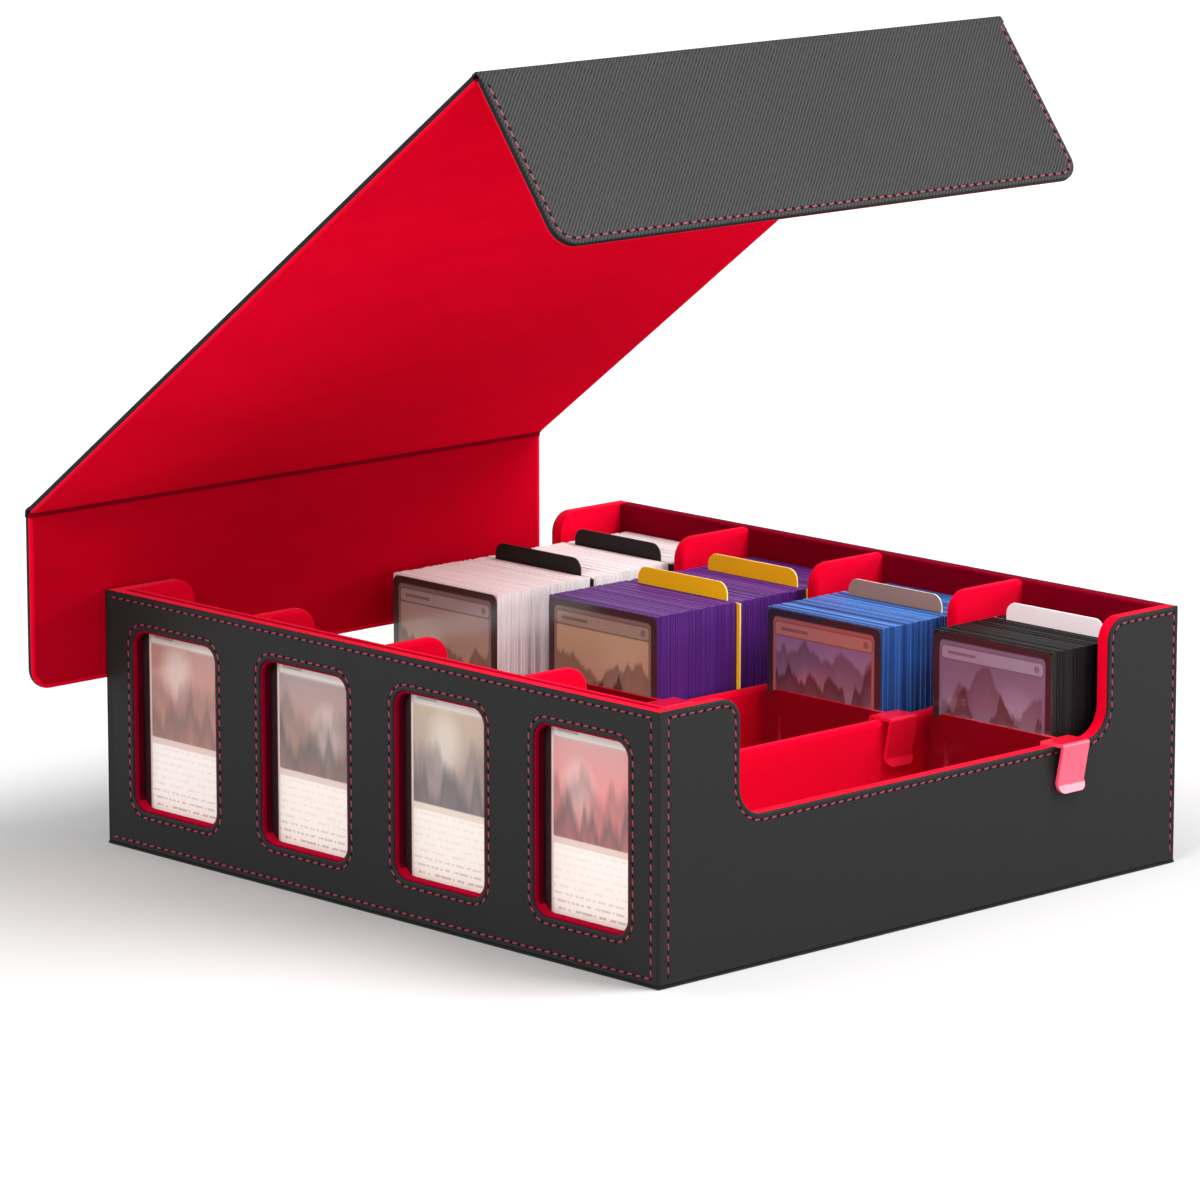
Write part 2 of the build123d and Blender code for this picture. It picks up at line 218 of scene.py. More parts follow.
def blotches(tree, vector, scale, detail=3.0, roughness=0.55):
    """Soft noise of a scale, in features per metre."""
    inputs = {"Vector": vector, "Scale": scale, "Detail": detail, "Roughness": roughness}
    return add_node(tree, "TexNoise", inputs).outputs["Fac"]


def blend_colours(tree, factor, dark, light):
    """Colour between two colours."""
    inputs = {"Factor": factor, "A": dark, "B": light}
    return add_node(tree, "Mix", inputs, data_type="RGBA").outputs["Result"]


def embossed(tree, height, strength, distance):
    """Surface direction over a fine relief."""
    inputs = {"Strength": strength, "Distance": distance, "Height": height}
    return add_node(tree, "Bump", inputs).outputs["Normal"]


def end_material(tree, surface, inputs):
    """End a material with an ordinary surface."""
    shader = add_node(tree, "BsdfPrincipled", inputs)
    tree.links.new(shader.outputs[0], surface)


# Embossed leather cloth: fine steep ribs broken into short dashes, as pressed by a twill roller
rib_pitch = 1.3 * mm
rib_direction = (0.661, 0.707, -0.39)
dash_direction = (-0.3, 0.707, 0.64)
dash_rate = 1.7
rib_height = 0.36
dash_height = 0.12
rib_wander = 2.2
twill_grain, given, made = new_group(
    "twill_grain",
    [("Vector", "Vector", None), ("Pitch", "Float", rib_pitch)],
    [("Height", "Float"), ("Tone", "Float")],
)
tree = twill_grain
wander = calc(tree, "MULTIPLY", blotches(tree, given["Vector"], 90.0, 1.0), rib_wander)
rib_run = vector_calc(tree, "DOT_PRODUCT", given["Vector"], rib_direction)
rib_turns = calc(tree, "DIVIDE", rib_run, given["Pitch"])
ribs = calc(tree, "SINE", calc(tree, "MULTIPLY_ADD", rib_turns, math.tau, wander))
dash_run = vector_calc(tree, "DOT_PRODUCT", given["Vector"], dash_direction)
dash_turns = calc(tree, "DIVIDE", dash_run, given["Pitch"])
dash_wander = calc(tree, "MULTIPLY", wander, 2.0)
dashes = calc(tree, "SINE", calc(tree, "MULTIPLY_ADD", dash_turns, dash_rate, dash_wander))
rib_relief = calc(tree, "MULTIPLY", ribs, calc(tree, "MULTIPLY_ADD", dashes, dash_height, rib_height))
tree.links.new(calc(tree, "ADD", rib_relief, 0.5), made["Height"])
tree.links.new(blotches(tree, given["Vector"], 16.0), made["Tone"])


def leather_material(name, dark, light, relief):
    """Black leather cloth, with the pressed ribs more or less clear, and set lighter or darker as painted
    light and shade.
    """
    material, tree, surface = new_material(name)
    grain = add_node(tree, "Group", {"Vector": object_place(tree)}, node_tree=twill_grain).outputs
    tone = calc(tree, "MULTIPLY_ADD", grain["Height"], 0.8, calc(tree, "MULTIPLY", grain["Tone"], 0.2))
    end_material(
        tree,
        surface,
        {
            "Base Color": blend_colours(tree, tone, dark, light),
            "Roughness": calc(tree, "MULTIPLY_ADD", grain["Height"], -0.14, 0.56),
            "Specular IOR Level": 0.1,
            "Normal": embossed(tree, grain["Height"], relief, 0.2 * mm),
        },
    )
    return material


# The case's leather is set darker than the cover's, as painted shade
case_leather = leather_material("case_leather", (0.010, 0.010, 0.010, 1), (0.014, 0.014, 0.014, 1), 0.05)

# Microfibre lining: a short nap that is brushed lighter and darker in places
brushed_nap, given, made = new_group(
    "brushed_nap", [("Vector", "Vector", None)], [("Height", "Float"), ("Tone", "Float")]
)
tree = brushed_nap
stroke = add_node(tree, "Mapping", {"Vector": given["Vector"], "Scale": (1.0, 0.35, 1.6)}).outputs[0]
brushed = blotches(tree, stroke, 42.0, 4.0, 0.65)
fibres = blotches(tree, given["Vector"], 2600.0, 2.0)
tree.links.new(fibres, made["Height"])
tree.links.new(calc(tree, "MULTIPLY_ADD", fibres, 0.3, calc(tree, "MULTIPLY", brushed, 0.7)), made["Tone"])


def lining_material(name, dark, light, sheen=0.05):
    """A microfibre lining between two colours, paler along its rims by its sheen."""
    material, tree, surface = new_material(name)
    nap = add_node(tree, "Group", {"Vector": object_place(tree)}, node_tree=brushed_nap).outputs
    end_material(
        tree,
        surface,
        {
            "Base Color": blend_colours(tree, nap["Tone"], dark, light),
            "Roughness": calc(tree, "MULTIPLY_ADD", nap["Tone"], -0.15, 0.9),
            "Specular IOR Level": 0.0,
            "Sheen Weight": sheen,
            "Sheen Roughness": 0.4,
            "Sheen Tint": (1.0, 0.22, 0.34, 1.0),
            "Normal": embossed(tree, nap["Height"], 0.25, 0.15 * mm),
        },
    )
    return material


red_lining = lining_material("red_lining", (0.54, 0.0005, 0.014, 1), (0.79, 0.001, 0.025, 1), 0.16)

greyboard, tree, surface = new_material("greyboard")
pulp = blotches(tree, object_place(tree), 900.0, 5.0, 0.7)
end_material(
    tree,
    surface,
    {
        "Base Color": blend_colours(tree, pulp, (0.16, 0.155, 0.145, 1), (0.36, 0.35, 0.33, 1)),
        "Roughness": 0.9,
        "Normal": embossed(tree, pulp, 0.3, 0.1 * mm),
    },
)

finish_node("base_board", greyboard)
finish_node("base_leather", case_leather)
finish_node("floor_lining", red_lining)

# Side walls: board with a deep cut-out, and three magnets let into its outer face.
# The lining covers the inside and rolls over the rim; leather with a sewn edge covers the outside.

rim_roundness = 1.7 * mm
rim_steps = 5
rim_margin = 1.0 * mm
leather_edge_roundness = 0.75 * mm
stitch_inset = 2.5 * mm
groove_slope = 0.8 * mm
groove_depth = 0.36 * mm
seam_tolerance = 0.1 * mm

magnet_steel, tree, surface = new_material("magnet_steel")
brush_lines = add_node(tree, "Mapping", {"Vector": object_place(tree), "Scale": (1.0, 1.0, 12.0)})
scratches = blotches(tree, brush_lines.outputs[0], 700.0, 3.0)
end_material(
    tree,
    surface,
    {
        "Base Color": blend_colours(tree, scratches, (0.42, 0.42, 0.43, 1), (0.62, 0.62, 0.63, 1)),
        "Metallic": 1.0,
        "Roughness": calc(tree, "MULTIPLY_ADD", scratches, 0.2, 0.22),
    },
)

weld_distance = 0.002 * mm
flat_angle = math.radians(0.6)
corner_angle = math.radians(35.0)
sharp_angle = math.radians(38.0)
level_tolerance = 0.01 * mm


def merged_copy(node):
    """A copy of a frame part's mesh with its flat faces whole."""
    bm = bmesh.new()
    bm.from_mesh(nodes[node].data)
    bmesh.ops.remove_doubles(bm, verts=bm.verts, dist=weld_distance)
    bmesh.ops.dissolve_limit(bm, angle_limit=flat_angle, verts=bm.verts, edges=bm.edges, delimit=set())
    return bm


def round_edges(bm, radius, segments, chosen):
    """Round the outward corners that are chosen by their two ends."""
    corners = []
    for edge in bm.edges:
        if len(edge.link_faces) == 2 and edge.calc_face_angle_signed(0.0) > corner_angle:
            if chosen(edge.verts[0].co, edge.verts[1].co):
                corners.append(edge)
    bmesh.ops.bevel(
        bm,
        geom=corners,
        offset=radius,
        offset_type="OFFSET",
        affect="EDGES",
        segments=segments,
        profile=0.5,
        material=-1,
        clamp_overlap=True,
    )


def place_piece(bm, name, body, materials, stands_for=()):
    """Turn a finished shape into a piece of the box that moves with a body."""
    mesh = bpy.data.meshes.new(name)
    bm.to_mesh(mesh)
    bm.free()
    mesh.polygons.foreach_set("use_smooth", [True] * len(mesh.polygons))
    mesh.set_sharp_from_angle(angle=sharp_angle)
    for material in materials:
        mesh.materials.append(material)
    piece = bpy.data.objects.new(name, mesh)
    scene.collection.objects.link(piece)
    weighted = piece.modifiers.new("flat_faces", "WEIGHTED_NORMAL")
    weighted.keep_sharp = True
    if body:
        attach(piece, body)
    if stands_for:
        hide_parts(*stands_for)
    return piece


def rolled_lining(node, piece_name, radius):
    """A lining that rolls over the cut-out rim of its wall, and is square where it meets the others."""
    low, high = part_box(node)
    bm = merged_copy(node)

    def on_rim(start, end):
        middle = (start + end) / 2
        along_wall = low.y + rim_margin < middle.y < high.y - rim_margin
        return along_wall and middle.z > low.z + rim_margin

    round_edges(bm, radius, rim_steps, on_rim)
    place_piece(bm, piece_name, "case", [red_lining], [node])


def boundary_loops(faces):
    """Ordered rings of points round a region of faces."""
    region = set(faces)
    follows = {}
    for face in faces:
        for loop in face.loops:
            if len([other for other in loop.edge.link_faces if other in region]) == 1:
                follows[loop.vert] = loop.link_loop_next.vert
    rings = []
    while follows:
        first, vert = follows.popitem()
        ring = [first.co.copy()]
        while vert is not first:
            ring.append(vert.co.copy())
            vert = follows.pop(vert)
        rings.append(ring)
    return rings


# Sewing thread: twisted red polyester, with dark beads between the stitches painted as the shade in the
# pricked holes
red_thread, tree, surface = new_material("red_thread")
plies = blotches(tree, object_place(tree), 1500.0, 2.0)
end_material(
    tree,
    surface,
    {
        "Base Color": blend_colours(tree, plies, (0.15, 0.0012, 0.020, 1), (0.34, 0.007, 0.052, 1)),
        "Roughness": calc(tree, "MULTIPLY_ADD", plies, 0.2, 0.5),
        "Normal": embossed(tree, plies, 0.4, 0.1 * mm),
    },
)


def dull_black_material(name, dark, light, spot_scale, spot_detail, roughness):
    """Dull black, a little uneven, painted as shade in the pricked holes and on the leather's turned edges.
    """
    material, tree, surface = new_material(name)
    spots = blotches(tree, object_place(tree), spot_scale, spot_detail)
    end_material(
        tree,
        surface,
        {
            "Base Color": blend_colours(tree, spots, dark, light),
            "Roughness": roughness,
            "Specular IOR Level": 0.1,
        },
    )
    return material


stitch_hole_shade = dull_black_material(
    "stitch_hole_shade", (0.003, 0.003, 0.003, 1), (0.008, 0.007, 0.007, 1), 800.0, 2.0, 0.95
)
cut_edge_shade = dull_black_material(
    "cut_edge_shade", (0.003, 0.003, 0.003, 1), (0.007, 0.007, 0.007, 1), 400.0, 3.0, 0.6
)

stitch_pitch = 4.45 * mm
stitch_width = 0.7 * mm
stitch_size = (stitch_width, 0.64 * stitch_width, 3.15 * mm)
stitch_lift = 0.13 * mm
stitch_slant = math.radians(7.0)
hole_size = (1.8 * mm, 0.34 * mm, 2.0 * mm)
hole_lift = 0.18 * mm
seam_finishes = [red_thread, stitch_hole_shade]
hole_and_stitch = (
    (hole_size, hole_lift, 0.0, stitch_hole_shade),
    (stitch_size, stitch_lift, stitch_slant, red_thread),
)


def sew(name, body, rings, outward, sewn):
    """Holes and stitches by turns along closed rings on a flat cover, where the cover is sewn."""
    bm = bmesh.new()
    bead_mesh = bpy.data.meshes.new("bead")
    for ring in rings:
        ends = ring[1:] + ring[:1]
        lengths = [(end - start).length for start, end in zip(ring, ends)]
        count = round(sum(lengths) / stitch_pitch)
        step = sum(lengths) / count
        for number in range(2 * count):
            run = number * step / 2
            part = 0
            while run > lengths[part]:
                run -= lengths[part]
                part += 1
            along = (ends[part] - ring[part]).normalized()
            point = ring[part] + along * run
            if not sewn(point):
                continue
            size, lift, slant, finish = hole_and_stitch[number % 2]
            thread_line = along * math.cos(slant) + outward.cross(along) * math.sin(slant)
            turn = Matrix((outward.cross(thread_line), outward, thread_line)).transposed().to_4x4()
            bead = bmesh.new()
            bmesh.ops.create_uvsphere(
                bead,
                u_segments=8,
                v_segments=5,
                radius=0.5,
                matrix=Matrix.Translation(point + outward * lift) @ turn @ Matrix.Diagonal((*size, 1.0)),
            )
            for face in bead.faces:
                face.material_index = seam_finishes.index(finish)
            bead.to_mesh(bead_mesh)
            bead.free()
            bm.from_mesh(bead_mesh)
    bpy.data.meshes.remove(bead_mesh)
    bmesh.ops.recalc_face_normals(bm, faces=bm.faces)
    place_piece(bm, name, body, seam_finishes)


def sewn_cover(
    node,
    piece_name,
    body,
    outward,
    sewn,
    edge_radius=leather_edge_roundness,
    rounded=None,
    inset=stitch_inset,
    leather=case_leather,
    seam_shift=None,
):
    """A leather cover with soft outer edges, a stitching groove and its row of stitches.

    A seam shift tells how far a point of the seam lies from its even distance to the edge.
    """
    bm = merged_copy(node)
    faces = [face for face in bm.faces if face.normal.dot(outward) > 0.999]
    face_level = faces[0].verts[0].co.dot(outward)

    def on_outer_edge(start, end):
        level = min(start.dot(outward), end.dot(outward))
        return level > face_level - level_tolerance and (rounded is None or rounded(start, end))

    round_edges(bm, edge_radius, 3, on_outer_edge)
    bm.normal_update()
    faces = [face for face in bm.faces if face.normal.dot(outward) > 0.9999]
    flat_edge = inset - edge_radius - groove_slope
    for width, depth in ((flat_edge, 0.0), (groove_slope, -groove_depth)):
        bmesh.ops.inset_region(
            bm, faces=faces, thickness=width, depth=depth, use_boundary=True, use_even_offset=True
        )
    rings = boundary_loops(faces)
    bmesh.ops.inset_region(
        bm, faces=faces, thickness=groove_slope, depth=groove_depth, use_boundary=True, use_even_offset=True
    )
    if seam_shift:
        for point in [vert.co for vert in bm.verts] + [point for ring in rings for point in ring]:
            point += seam_shift(point)
    bm.normal_update()
    finishes = [leather, cut_edge_shade]
    # The steep edge faces of the leather take the darker black, as painted shade on the turned edges
    for face in bm.faces:
        if abs(face.normal.dot(outward)) < 0.4:
            face.material_index = finishes.index(cut_edge_shade)
    place_piece(bm, piece_name, body, finishes, [node])
    sew(piece_name.replace("hide", "stitching"), body, rings, outward, sewn)


def in_seam(edge_distance):
    """Whether a point at a distance from the edge of a cover lies in its evenly spaced seam."""
    return abs(edge_distance - stitch_inset) < groove_slope + seam_tolerance


base_sewing_gap = 4.2 * mm
side_corner_shift = Vector((0.0, 2.5 * mm, 0.0))
wall_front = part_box("left_wall_leather")[0].y

for side, out in (("left", -1.0), ("right", 1.0)):
    finish_node(f"{side}_wall_board", greyboard)
    finish_node(f"{side}_wall_magnets", magnet_steel)
    rolled_lining(f"{side}_wall_lining", f"{side}_wall_suede", rim_roundness)
    sewn_cover(
        f"{side}_wall_leather",
        f"{side}_wall_hide",
        "case",
        Vector((out, 0.0, 0.0)),
        lambda point: point.z > base_sewing_gap,
        seam_shift=lambda point: side_corner_shift * in_seam(point.y - wall_front),
    )

# Back wall: a plain board glued between the side walls, with the same sewn leather outside.
# Its lining, painted dark as the shade behind the cards, covers the inside and rolls over the straight top
# edge.

top_tolerance = 0.1 * mm


def rolled_top(node):
    """A lining rounded where it turns over the straight top edge of its wall."""
    top_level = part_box(node)[1].z - top_tolerance
    bm = merged_copy(node)
    round_edges(bm, rim_roundness, rim_steps, lambda start, end: min(start.z, end.z) > top_level)
    return bm


# The back wall's lining is the red lining painted dark as shade
back_shade_lining = lining_material("back_shade_lining", (0.14, 0.0003, 0.008, 1), (0.23, 0.0005, 0.013, 1))
finish_node("back_board", greyboard)
bm = rolled_top("back_lining")
place_piece(bm, "back_wall_suede", "case", [back_shade_lining], ["back_lining"])
sewn_cover("back_leather", "back_wall_hide", "case", Vector((0.0, 1.0, 0.0)), lambda point: True)

# Front wall: an outer panel with four windows and an inner panel, with a narrow pocket between them.
# Each window has a clear film behind a lined edge, and the pocket holds one display card a window.

finish_node("front_board", greyboard)
finish_node("pocket_floor", red_lining)
finish_node("pocket_spacers", red_lining)

# Copies of the red lining painted darker as shade: on the window jambs, darkest deep in behind the lip, and
# less dark on the sills and in the slot at the top of the wall
jamb_shade_lining = lining_material("jamb_shade_lining", (0.16, 0.0003, 0.009, 1), (0.24, 0.0005, 0.014, 1))
sill_shade_lining = lining_material("sill_shade_lining", (0.27, 0.0004, 0.012, 1), (0.39, 0.0007, 0.020, 1))
deep_shade_lining = lining_material("deep_shade_lining", (0.04, 0.0003, 0.004, 1), (0.07, 0.0005, 0.006, 1))

bm = rolled_top("front_lining")
bm.normal_update()
front_finishes = [red_lining, sill_shade_lining]
# The faces of the slot that look to the front are painted darker, as shade
for face in bm.faces:
    if face.normal.y < -0.3:
        face.material_index = front_finishes.index(sill_shade_lining)
place_piece(bm, "front_wall_suede", "case", front_finishes, ["front_lining"])

panel_low, panel_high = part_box("front_window_panel")
panel_border = 6.0 * mm
window_lip = 1.5 * mm
window_edge_roundness = 0.7 * mm
wall_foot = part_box("floor_lining")[0].z + rim_margin
bm = merged_copy("front_window_panel")
round_edges(bm, window_edge_roundness, 4, lambda start, end: min(start.z, end.z) > wall_foot)
bmesh.ops.bisect_plane(
    bm,
    geom=bm.verts[:] + bm.edges[:] + bm.faces[:],
    plane_co=(0.0, panel_low.y + window_lip, 0.0),
    plane_no=(0.0, 1.0, 0.0),
)
# The window edges get the painted shade: the sills facing up, the jambs at the lip, and darkest the jambs
# behind the lip
frame_finishes = [red_lining, jamb_shade_lining, deep_shade_lining, sill_shade_lining]
for face in bm.faces:
    middle = face.calc_center_median()
    in_height = panel_low.z + panel_border < middle.z < panel_high.z - panel_border
    in_width = abs(middle.x) < panel_high.x - panel_border
    if in_height and in_width and face.normal.y < 0.7:
        if face.normal.z > 0.5:
            finish = sill_shade_lining
        elif middle.y > panel_low.y + window_lip:
            finish = deep_shade_lining
        else:
            finish = jamb_shade_lining
        face.material_index = frame_finishes.index(finish)
place_piece(bm, "window_frame_suede", "case", frame_finishes, ["front_window_panel"])

clear_film, tree, surface = new_material("clear_film")
ripples = blotches(tree, object_place(tree), 35.0, 2.0)
film_normal = embossed(tree, ripples, 0.1, 1.0 * mm)
film_clear = add_node(tree, "BsdfTransparent", {"Color": (0.97, 0.965, 0.96, 1.0)})
film_roughness = calc(tree, "MULTIPLY_ADD", ripples, 0.12, 0.06)
film_gloss = add_node(
    tree, "BsdfGlossy", {"Color": white, "Roughness": film_roughness, "Normal": film_normal}
)
film_share = add_node(tree, "Fresnel", {"IOR": 1.46, "Normal": film_normal}).outputs[0]
film_front = calc(tree, "SUBTRACT", 1.0, add_node(tree, "NewGeometry").outputs["Backfacing"])
film_share = calc(tree, "MULTIPLY", film_share, film_front)
film_mix = add_node(tree, "MixShader", {0: film_share, 1: film_clear.outputs[0], 2: film_gloss.outputs[0]})
tree.links.new(film_mix.outputs[0], surface)
finish_node("window_panes", clear_film)

front_low, front_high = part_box("front_leather")
left_seam_room = 0.6 * mm
left_seam = front_low.x + stitch_inset + left_seam_room
front_corner_shift = Vector((-1.2 * mm, 0.0, 0.0))
sewn_cover(
    "front_leather",
    "front_wall_hide",
    "case",
    Vector((0.0, -1.0, 0.0)),
    lambda point: point.x > left_seam,
    seam_shift=lambda point: front_corner_shift * in_seam(front_high.x - point.x),
)

# Partitions: boards cut out like the side walls, glued on the floor between the front and back walls.
# Each is wrapped in one lining, which covers both faces and rolls over the rim.

partition_roundness = 2.0 * mm

for number in (1, 2, 3):
    finish_node(f"partition_{number}_board", greyboard)
    rolled_lining(f"partition_{number}_lining", f"partition_{number}_suede", partition_roundness)

# Cover: three stiff panels of board, leather outside and lining inside, with magnets in both flaps.
# One piece of leather and one of lining run across all three, so the folds are soft hinges.

joints = {joint["name"]: joint for joint in frame["joints"]}
left_axis = Vector(joints["lid_left_fold"]["pos_m"])
right_axis = Vector(joints["lid_right_fold"]["pos_m"])
top_along = (right_axis - left_axis).normalized()
top_outward = Vector((-top_along.z, 0.0, top_along.x))
left_outward = Vector((-1.0, 0.0, 0.0))
left_along = Vector((0.0, 0.0, -1.0))
right_outward = top_along
right_along = -top_outward
lid_span = (right_axis - left_axis).length
fold_gap = 2.05 * mm
fold_edge_room = 0.05 * mm
fold_sewing_room = 2.2 * mm
fold_border_room = 0.8 * mm
lid_edge_roundness = 0.9 * mm
lid_stitch_inset = 2.4 * mm
lid_lining_roundness = 0.6 * mm
lid_lining_border = 1.0 * mm

# The cover's leather is the case's leather cloth with clearer ribs, set lighter as painted light on the
# cover
lit_cover_leather = leather_material(
    "lit_cover_leather", (0.0005, 0.0005, 0.0005, 1), (0.042, 0.043, 0.043, 1), 1.0
)
# The cover's linings are the red lining painted darker as shade, the left flap's darker still
cover_shade_lining = lining_material("cover_shade_lining", (0.49, 0.0003, 0.011, 1), (0.73, 0.0006, 0.020, 1), 0.02)
flap_shade_lining = lining_material("flap_shade_lining", (0.31, 0.0003, 0.007, 1), (0.47, 0.0006, 0.013, 1))

for panel, axis, along, outward, length in (
    ("left_flap", left_axis, left_along, left_outward, None),
    ("top", left_axis, top_along, top_outward, lid_span),
    ("right_flap", right_axis, right_along, right_outward, None),
):
    body = f"lid_{panel}"
    finish_node(f"lid_{panel}_board", greyboard)
    if length is None:
        finish_node(f"lid_{panel}_magnets", magnet_steel)

    def off_the_fold(point, room):
        reach = (point - axis).dot(along)
        return reach > fold_gap + room and (length is None or reach < length - fold_gap - room)

    sewn_cover(
        f"lid_{panel}_leather",
        f"lid_{panel}_hide",
        body,
        outward,
        lambda point: off_the_fold(point, fold_sewing_room),
        lid_edge_roundness,
        lambda start, end: off_the_fold((start + end) / 2, fold_edge_room),
        lid_stitch_inset,
        lit_cover_leather,
    )
    bm = merged_copy(f"lid_{panel}_lining")
    inside_level = max(vert.co.dot(-outward) for vert in bm.verts) - level_tolerance

    def on_inside_edge(start, end):
        inside = min(start.dot(-outward), end.dot(-outward)) > inside_level
        return inside and off_the_fold((start + end) / 2, fold_edge_room)

    round_edges(bm, lid_lining_roundness, 3, on_inside_edge)
    bm.normal_update()
    faces = [face for face in bm.faces if face.normal.dot(outward) < -0.999]
    bmesh.ops.inset_region(
        bm, faces=faces, thickness=lid_lining_border, use_boundary=True, use_even_offset=True
    )
    field = set(faces)
    # The rolled border keeps the lighter red lining, a painted highlight where the edge catches the light
    finishes = [flap_shade_lining if panel == "left_flap" else cover_shade_lining, red_lining]
    for face in bm.faces:
        if face not in field and off_the_fold(face.calc_center_median(), fold_border_room):
            face.material_index = finishes.index(red_lining)
    place_piece(bm, f"lid_{panel}_suede", body, finishes, [f"lid_{panel}_lining"])

# Cover folds: the leather and the lining between two panels, with no board behind them.
# The leather bends round the outside of each fold and the lining, painted dark as shade, lies in its
# crease.

half_lid = 1.55 * mm
fold_radius = 1.45 * mm
sheet_thickness = 0.8 * mm
lid_low, lid_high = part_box("lid_top_leather")
# The lining in the crease is the red lining painted dark as shade
crease_shade_lining = lining_material("crease_shade_lining", (0.13, 0.0003, 0.006, 1), (0.20, 0.0005, 0.010, 1))


def fold_strip(name, profile, material, stands_for):
    """A strip of sheet along the cover from a profile across the fold, bending between two panels."""
    bm = bmesh.new()
    verts = [bm.verts.new(Vector((point.x, lid_low.y, point.z))) for point in profile]
    edges = [bm.edges.new(pair) for pair in zip(verts, verts[1:])]
    swept = bmesh.ops.extrude_edge_only(bm, edges=edges)["geom"]
    moved = [item for item in swept if isinstance(item, bmesh.types.BMVert)]
    bmesh.ops.translate(bm, verts=moved, vec=(0.0, lid_high.y - lid_low.y, 0.0))
    bmesh.ops.solidify(bm, geom=bm.faces[:], thickness=-sheet_thickness)
    bmesh.ops.recalc_face_normals(bm, faces=bm.faces)
    piece = place_piece(bm, name, None, [material], stands_for)
    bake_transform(piece)


def turned(vector, angle):
    """A direction across the cover, turned towards the right by an angle."""
    return Matrix.Rotation(angle, 3, "Y") @ vector


arc_steps = 8
left_bodies = ("lid_left_flap", "lid_top")
right_bodies = ("lid_top", "lid_right_flap")
for side, axis, bodies, first_out, first_along, last_out, last_along in (
    ("left", left_axis, left_bodies, left_outward, left_along, top_outward, top_along),
    ("right", right_axis, right_bodies, top_outward, -top_along, right_outward, right_along),
):
    bend = first_out.angle(last_out)
    arc = [axis + turned(first_out, bend * step / arc_steps) * fold_radius for step in range(arc_steps + 1)]
    outside = [axis + first_along * fold_gap + first_out * half_lid]
    outside += arc
    outside += [axis + last_along * fold_gap + last_out * half_lid]
    fold_strip(
        f"lid_{side}_fold_hide",
        outside,
        lit_cover_leather,
        [f"lid_{side}_fold"],
    )
    crease = axis - (first_out + last_out) * half_lid / (1.0 + first_out.dot(last_out))
    inside = [
        axis + last_along * fold_gap - last_out * half_lid,
        crease,
        axis + first_along * fold_gap - first_out * half_lid,
    ]
    fold_strip(
        f"lid_{side}_fold_suede", inside, crease_shade_lining, []
    )

# Card stacks: cards in soft plastic sleeves with coloured backs, packed loosely enough to stand uneven.
# Tab separators, thin plastic sheets, part each stack into blocks.

sleeve_pitch = 0.66 * mm
sleeve_share = 0.84
side_wander = 0.45 * mm
top_wander = 0.55 * mm
shift_kept = 0.8
shift_step = 0.6
face_room = 0.7 * mm
block_gap = 0.3 * mm


def sleeve_material(name, dark, light, roughness):
    """Sleeve plastic, with each sleeve a little lighter or darker than the next, and the sides of the stack
    painted darker than the tops as shade.
    """
    material, tree, surface = new_material(name)
    shade = add_node(tree, "Attribute", attribute_name="sleeve_shade").outputs["Fac"]
    haze = blotches(tree, object_place(tree), 60.0)
    facing = add_node(tree, "TexCoord").outputs["Normal"]
    shaded_side = calc(tree, "ABSOLUTE", vector_calc(tree, "DOT_PRODUCT", facing, (1.0, 0.0, 0.0)))
    factor = calc(tree, "MULTIPLY_ADD", haze, 0.25, calc(tree, "MULTIPLY", shade, 0.75))
    # The sides of the stack are painted darker than the tops, as shade
    factor = calc(tree, "MULTIPLY", factor, calc(tree, "MULTIPLY_ADD", shaded_side, -0.75, 1.0))
    end_material(
        tree,
        surface,
        {
            "Base Color": blend_colours(tree, factor, dark, light),
            "Roughness": calc(tree, "MULTIPLY_ADD", haze, 0.15, roughness),
            "Specular IOR Level": 0.2,
        },
    )
    return material


def fill_with_sleeves(bm, shade_layer, low, high, dice):
    """Thin upright sleeves between two corners, each standing a little off the last."""
    count = round((high.y - low.y) / sleeve_pitch)
    pitch = (high.y - low.y) / count
    shift = 0.0
    for number in range(count):
        shift = max(-1.0, min(1.0, shift * shift_kept + dice.uniform(-shift_step, shift_step)))
        drop = dice.random() ** 2 * top_wander
        size = Vector((high.x - low.x - 2 * side_wander, pitch * sleeve_share, high.z - low.z - drop))
        centre = Vector(
            (
                (low.x + high.x) / 2 + shift * side_wander,
                low.y + (number + 0.5) * pitch,
                low.z + size.z / 2,
            )
        )
        sleeve = bmesh.ops.create_cube(
            bm, size=1.0, matrix=Matrix.Translation(centre) @ Matrix.Diagonal((*size, 1.0))
        )
        shade = dice.random()
        for vert in sleeve["verts"]:
            vert[shade_layer] = shade


# For each stack: the sleeves' darkest and lightest colours and their roughness, and its separators
stack_finishes = {
    "white": (
        ((0.80, 0.78, 0.78, 1), (0.96, 0.95, 0.95, 1), 0.38),
        ("tab_black_front", "tab_black_back"),
    ),
    "purple": (
        ((0.060, 0.013, 0.15, 1), (0.17, 0.035, 0.32, 1), 0.34),
        ("tab_yellow_front", "tab_yellow_back"),
    ),
    "blue": (((0.006, 0.026, 0.135, 1), (0.09, 0.30, 0.80, 1), 0.34), ("tab_tan",)),
    "black": (((0.002, 0.002, 0.0022, 1), (0.005, 0.0054, 0.006, 1), 0.46), ("tab_white",)),
}
dice = random.Random(7)

